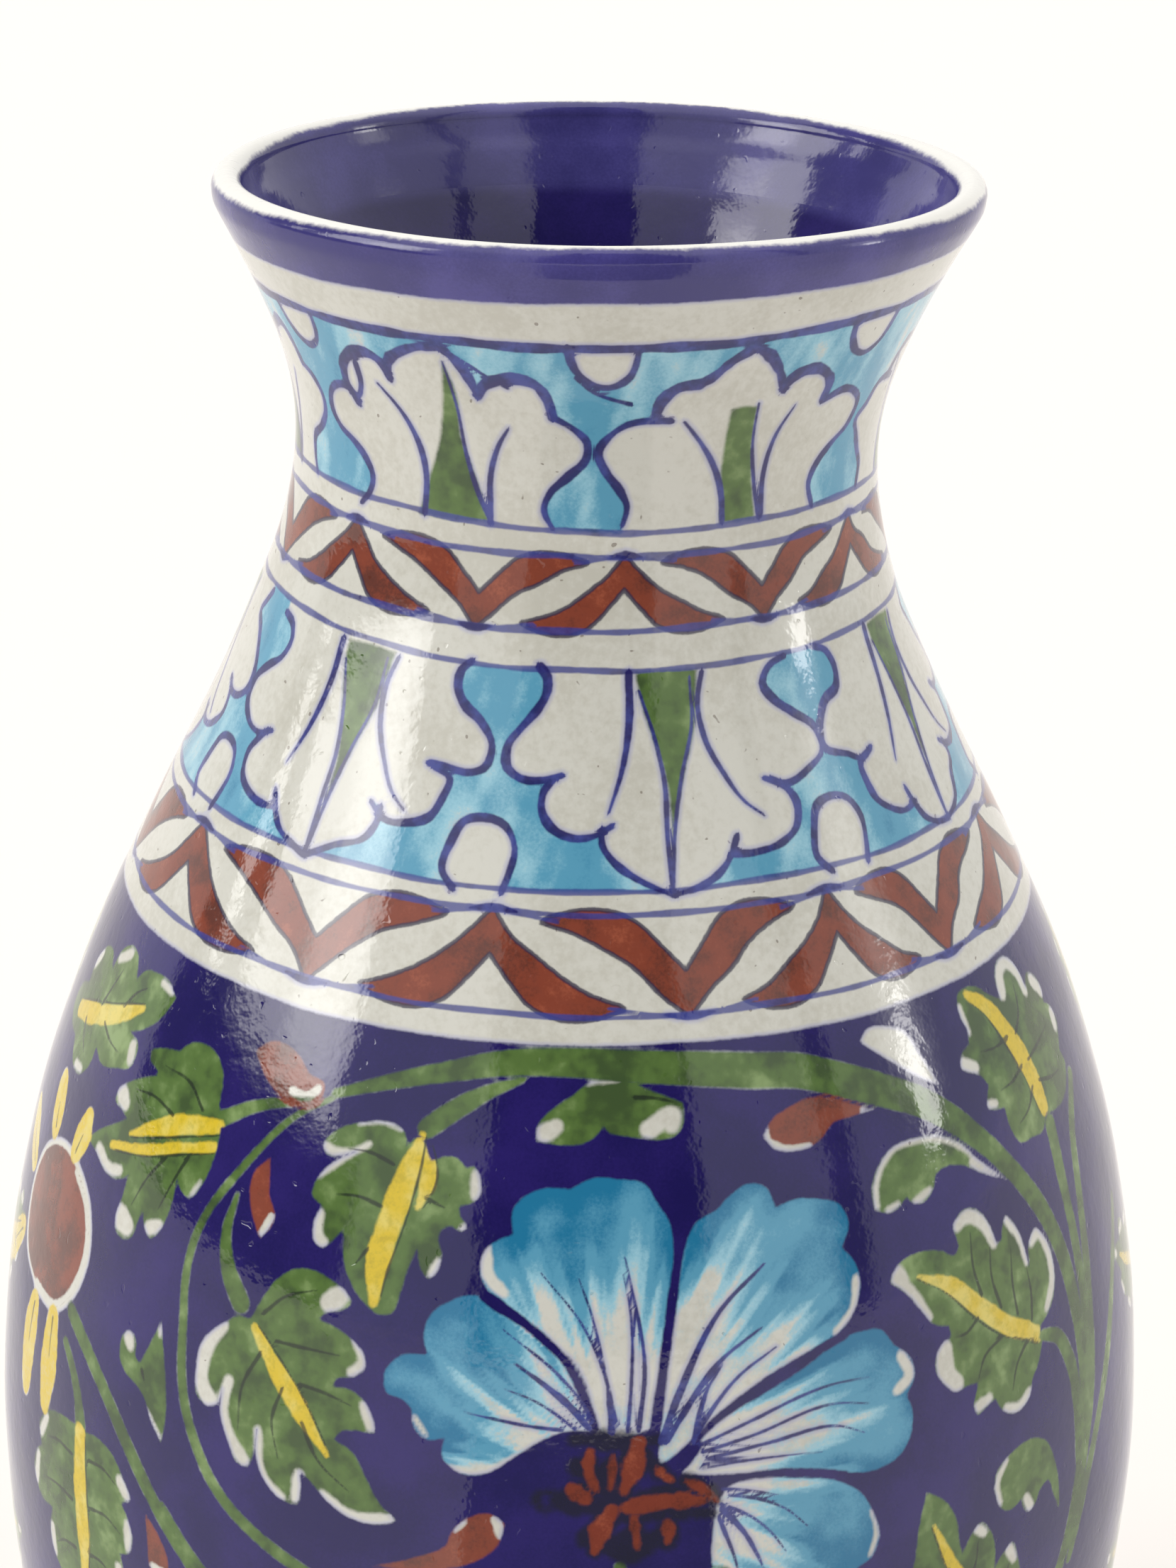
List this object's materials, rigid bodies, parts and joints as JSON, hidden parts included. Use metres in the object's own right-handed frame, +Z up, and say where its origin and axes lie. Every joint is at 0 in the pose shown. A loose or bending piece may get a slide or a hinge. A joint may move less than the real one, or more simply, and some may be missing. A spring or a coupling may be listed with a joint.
{
  "type": "pottery vase",
  "caption": "Baluster vase with a waisted neck and flared lip, hand-painted in cobalt and turquoise with flowers, leaf lappets and chain bands under a clear glaze.",
  "frame": {"origin": "middle of the foot, on the surface the vase stands on", "axes": "+Z up along the vase's axis; -Y is the front, where the large turquoise flower is painted; +X is to the right"},
  "size_m": [0.1402, 0.1402, 0.254],
  "materials": {
    "floral_glaze": "glossy clear glaze over a cobalt ground with painted turquoise flowers, green leaves, yellow and brown",
    "banded_glaze": "glossy clear glaze over white slip painted with leaf lappets, a brown chain band and cobalt ground below",
    "neck_glaze": "glossy clear glaze over white slip painted with leaf lappets on turquoise and a brown chain band",
    "lip_glaze": "glossy clear glaze over a solid cobalt band",
    "foot_body": "cobalt glaze outside, bare quartz body where it stands",
    "paste": "matte fired quartz paste"
  },
  "bodies": {
    "root": {"foot_ring": "foot_body", "foot_seam": "paste", "lower_body": "floral_glaze", "belly_seam": "paste", "upper_body": "banded_glaze", "shoulder_seam": "paste", "neck": "neck_glaze", "lip_seam": "paste", "lip": "lip_glaze"}
  },
  "joints": []
}
